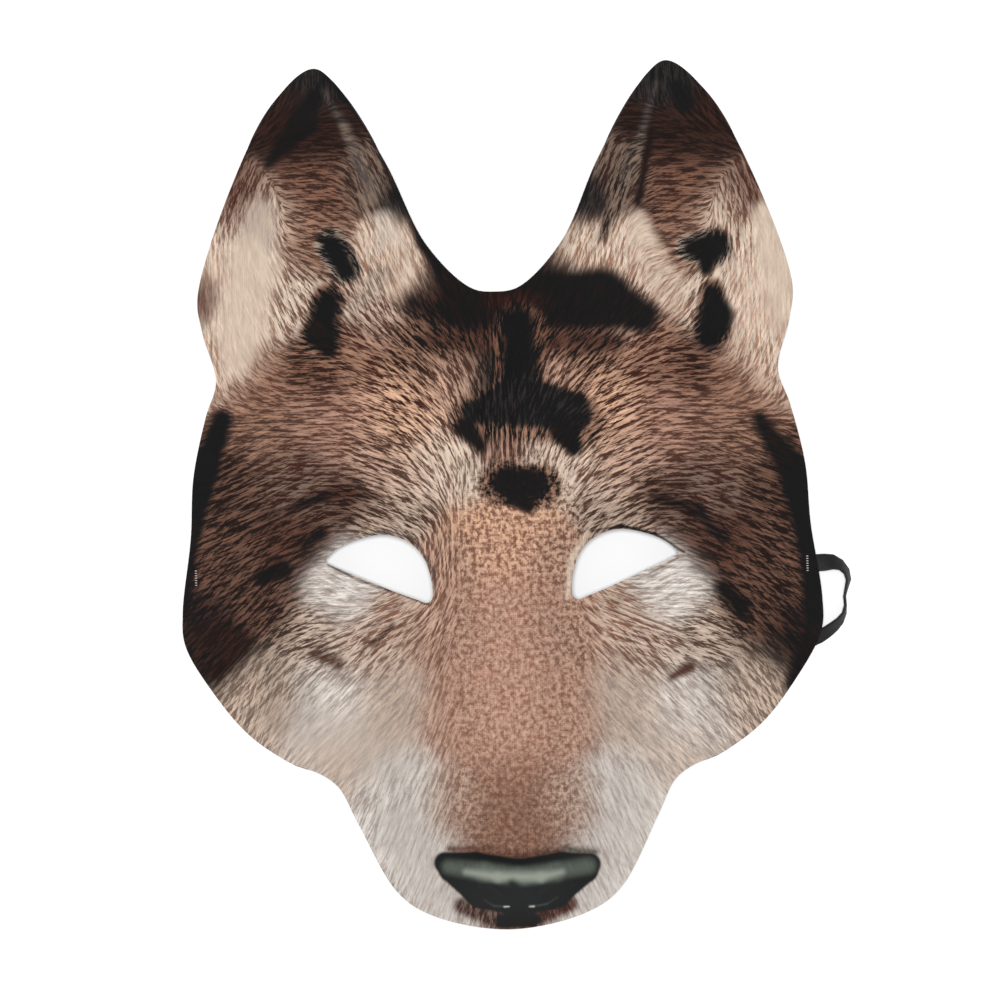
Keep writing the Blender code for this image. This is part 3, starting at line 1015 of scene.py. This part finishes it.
def woven_elastic():
    """Black woven elastic: smooth fine ribs along it and a slightly shinier warp."""
    material, shader = new_material("woven_elastic", Specular_IOR_Level=0.3)
    place = add_node(material, "ShaderNodeAttribute", attribute_name="weave").outputs["Vector"]
    ribs, picks = (add_node(material, "ShaderNodeTexWave", {
        "Vector": place, "Scale": WAVE_BANDS / pitch, "Distortion": 0.6,
    }, bands_direction=way).outputs["Fac"] for way, pitch in (("X", RIB_PITCH), ("Y", PICK_PITCH)))
    weave = add_node(material, "ShaderNodeMath", {0: ribs, 1: picks}, operation="MULTIPLY").outputs[0]
    shade = add_node(material, "ShaderNodeMix", {
        0: weave, 6: (*linear("#0a0a0c"), 1), 7: (*linear("#17171a"), 1),
    }, data_type="RGBA").outputs[2]
    fuzz = add_node(material, "ShaderNodeTexNoise", {
        "Vector": place, "Scale": 1 / LINT_PATCH, "Detail": 3,
    }).outputs["Fac"]
    rough = add_node(material, "ShaderNodeMapRange", {
        "Value": fuzz, "To Min": 0.5, "To Max": 0.75,
    }).outputs[0]
    raised = add_node(material, "ShaderNodeBump", {
        "Height": weave, "Strength": 0.5, "Distance": 0.08 * MM,
    }).outputs[0]
    material.node_tree.links.new(shade, shader.inputs["Base Color"])
    material.node_tree.links.new(rough, shader.inputs["Roughness"])
    material.node_tree.links.new(raised, shader.inputs["Normal"])
    return material


def sewing_thread():
    """Spun polyester thread in pale grey: matt, twisted, with a little lint."""
    material, shader = new_material("sewing_thread", Roughness=0.7, Specular_IOR_Level=0.25)
    place = add_node(material, "ShaderNodeTexCoord").outputs["Object"]
    twist = add_node(material, "ShaderNodeTexNoise", {
        "Vector": place, "Scale": 1 / THREAD, "Detail": 2,
    }).outputs["Fac"]
    shade = add_node(material, "ShaderNodeMix", {
        0: twist, 6: (*linear("#8f8b86"), 1), 7: (*linear("#d3cfc9"), 1),
    }, data_type="RGBA").outputs[2]
    plies = add_node(material, "ShaderNodeBump", {
        "Height": twist, "Strength": 0.4, "Distance": 0.05 * MM,
    }).outputs[0]
    material.node_tree.links.new(shade, shader.inputs["Base Color"])
    material.node_tree.links.new(plies, shader.inputs["Normal"])
    return material


def dress_sheet():
    """The laminate with its print laid on as tones, shares and lay at each point."""
    mesh = laminate_mesh()
    for material in (printed_knit(), black_foam(), lining_knit()):
        mesh.materials.append(material)
    points = np.empty(len(mesh.vertices) * 3)
    mesh.vertices.foreach_get("co", points)
    places = chart_places(points.reshape(-1, 3))
    painted = in_blocks(print_at, places)
    solid = np.ones(len(painted))
    layers = {
        "ground": ("FLOAT_COLOR", "color", np.column_stack([painted[:, 1:4], solid])),
        "strand": ("FLOAT_COLOR", "color", np.column_stack([painted[:, 4:7], painted[:, 0]])),
        "flow": ("FLOAT_VECTOR", "vector", painted[:, 7:10]),
        "speckle": ("FLOAT", "value", painted[:, 10]),
    }
    for name, (kind, field, values) in layers.items():
        layer = mesh.attributes.new(name, kind, "POINT")
        layer.data.foreach_set(field, values.ravel().astype(np.float32))
    piece = add_object("laminate_face", mesh)
    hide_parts("moulded_face")
    return piece


def swept_mesh(name, centres, lifts, section):
    """A band swept along the centres. Each section point lies across and up in the band."""
    ahead = np.gradient(centres, axis=0)
    ahead /= np.linalg.norm(ahead, axis=1)[:, None]
    inner = np.cross(ahead, (0, 0, 1))
    inner /= np.linalg.norm(inner, axis=1)[:, None]
    up = np.cross(inner, ahead)
    width = inner * np.cos(lifts)[:, None] + up * np.sin(lifts)[:, None]
    depth = np.cross(width, ahead)
    rings = [centre + np.outer(section[:, 0], w) + np.outer(section[:, 1], d)
             for centre, w, d in zip(centres, width, depth)]
    count = len(section)
    last = (len(rings) - 1) * count
    faces = [list(range(count)), list(range(last + count - 1, last - 1, -1))]
    for ring in range(len(rings) - 1):
        for i in range(count):
            a, b = ring * count + i, ring * count + (i + 1) % count
            faces.append([a, a + count, b + count, b])
    mesh = bpy.data.meshes.new(name)
    mesh.from_pydata(np.vstack(rings).tolist(), [], faces)
    shape = bmesh.new()
    shape.from_mesh(mesh)
    bmesh.ops.recalc_face_normals(shape, faces=shape.faces)
    shape.to_mesh(mesh)
    shape.free()
    mesh.shade_smooth()
    mesh.set_sharp_from_angle(angle=STRAP_CREASE)
    return mesh


def dress_strap():
    """The elastic: a flat band with soft edges, sewn at both ends and limp between."""
    centres, lifts = strap_stations()
    turn = np.linspace(0, 2 * math.pi, BAND_SIDES, endpoint=False)
    across = np.sign(np.cos(turn)) * np.abs(np.cos(turn)) ** BAND_ROUNDNESS
    deep = np.sign(np.sin(turn)) * np.abs(np.sin(turn)) ** BAND_ROUNDNESS
    section = np.column_stack([across * STRAP_WIDTH / 2, deep * STRAP_THICKNESS / 2])
    mesh = swept_mesh("woven_strap", centres, lifts, section)
    steps = np.linalg.norm(np.diff(centres, axis=0), axis=1)
    run = np.repeat(np.concatenate([[0], steps.cumsum()]), len(section))
    beside = np.tile(section[:, 0], len(centres))
    threads = np.column_stack([beside, run, np.zeros(len(run))]).astype(np.float32)
    mesh.attributes.new("weave", "FLOAT_VECTOR", "POINT").data.foreach_set("vector", threads.ravel())
    mesh.materials.append(woven_elastic())
    piece = add_object("woven_strap", mesh)
    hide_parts("elastic_strap")
    return piece


def stitch_mesh(name, stitches):
    """Short thread loops, each a round arch between the two points that it is sewn through."""
    turn = np.linspace(0, 2 * math.pi, THREAD_SIDES, endpoint=False)
    verts, faces = [], []
    last = (STITCH_RINGS - 1) * THREAD_SIDES
    for start, end, up in stitches:
        start, end, up = (np.array(v, float) for v in (start, end, up))
        along = (end - start) / np.linalg.norm(end - start)
        side = np.cross(along, up)
        first = len(verts)
        for share in np.linspace(0, 1, STITCH_RINGS):
            rise = up * THREAD * (math.sin(share * math.pi) * STITCH_ARCH - STITCH_SUNK)
            centre = start + (end - start) * share + rise
            verts += [centre + (side * math.cos(t) + up * math.sin(t)) * THREAD / 2 for t in turn]
        faces += [list(range(first, first + THREAD_SIDES)),
                  list(range(first + last + THREAD_SIDES - 1, first + last - 1, -1))]
        for ring in range(first, first + last, THREAD_SIDES):
            for i in range(THREAD_SIDES):
                a, b = ring + i, ring + (i + 1) % THREAD_SIDES
                faces.append([a, a + THREAD_SIDES, b + THREAD_SIDES, b])
    mesh = bpy.data.meshes.new(name)
    mesh.from_pydata([tuple(v) for v in verts], [], faces)
    shape = bmesh.new()
    shape.from_mesh(mesh)
    bmesh.ops.recalc_face_normals(shape, faces=shape.faces)
    shape.to_mesh(mesh)
    shape.free()
    mesh.shade_smooth()
    return mesh


def dress_stitches():
    """Two bars of stitches hold each strap end on the back, and the outer bar comes
    through as pale specks in front."""
    thread = sewing_thread()
    across = STRAP_ACROSS + np.linspace(-0.5, 0.5, STITCHES) * (STRAP_WIDTH - 3 * THREAD)
    for side, name in ((1, "right"), (-1, "left")):
        sewn = np.array(sewn_end(side))
        outer = abs(sewn[-1, 0])
        stitches = []
        for inset in BAR_INSETS:
            reach = outer - inset + np.array([-STITCH, STITCH]) / 2
            levels = np.interp(reach, abs(sewn[:, 0]), sewn[:, 2]) - STRAP_THICKNESS / 2
            for y in across:
                start, end = ((side * x, y, z) for x, z in zip(reach, levels))
                stitches.append((start, end, (0, 0, -1)))
        seen = side * (outer - BAR_INSETS[0] + np.array([-SPECK, SPECK]) / 2)
        for y in across:
            (start, end), _ = front_and_back(np.column_stack([seen, [y, y]]))
            stitches.append((start, end, (0, 0, 1)))
        mesh = stitch_mesh("strap_stitches_" + name, stitches)
        mesh.materials.append(thread)
        add_object("strap_stitches_" + name, mesh)


def add_camera():
    """A long lens straight above, turned a little as in the photograph."""
    camera = bpy.data.cameras.new("view")
    camera.lens = LENS
    camera.sensor_width = SENSOR
    spot = bpy.data.objects.new("view", camera)
    spot.location = (CAMERA_ACROSS, CAMERA_UP, CAMERA_HEIGHT)
    spot.rotation_euler = (0, 0, CAMERA_TURN)
    bpy.context.scene.collection.objects.link(spot)
    bpy.context.scene.camera = spot


def add_floor():
    """A white laminate table."""
    mesh = bpy.data.meshes.new("table_top")
    corners = [(x * TABLE_REACH, y * TABLE_REACH, 0) for x, y in ((-1, -1), (1, -1), (1, 1), (-1, 1))]
    mesh.from_pydata(corners, [], [(0, 1, 2, 3)])
    material, shader = new_material("white_table", Roughness=0.6)
    shader.inputs["Base Color"].default_value = (TABLE_WHITE, TABLE_WHITE, TABLE_WHITE, 1)
    mesh.materials.append(material)
    floor = bpy.data.objects.new("table_top", mesh)
    bpy.context.scene.collection.objects.link(floor)


def add_light():
    """A soft box straight above, whose light reaches the table through the eye holes, and
    a bright room around."""
    world = bpy.data.worlds.new("room")
    world.use_nodes = True
    world.node_tree.nodes["Background"].inputs["Color"].default_value = (1, 1, 1, 1)
    world.node_tree.nodes["Background"].inputs["Strength"].default_value = ROOM_LIGHT
    bpy.context.scene.world = world
    lamp = bpy.data.lights.new("soft_box", "AREA")
    lamp.shape = "DISK"
    lamp.size = LAMP_SIZE
    lamp.energy = LAMP_POWER
    spot = bpy.data.objects.new("soft_box", lamp)
    spot.location = LAMP_PLACE
    spot.rotation_euler = Vector(LAMP_PLACE).to_track_quat("Z", "Y").to_euler()
    bpy.context.scene.collection.objects.link(spot)
    bpy.context.scene.view_settings.view_transform = "Standard"


add_camera()
dress_strap()
dress_sheet()
dress_stitches()
add_floor()
add_light()
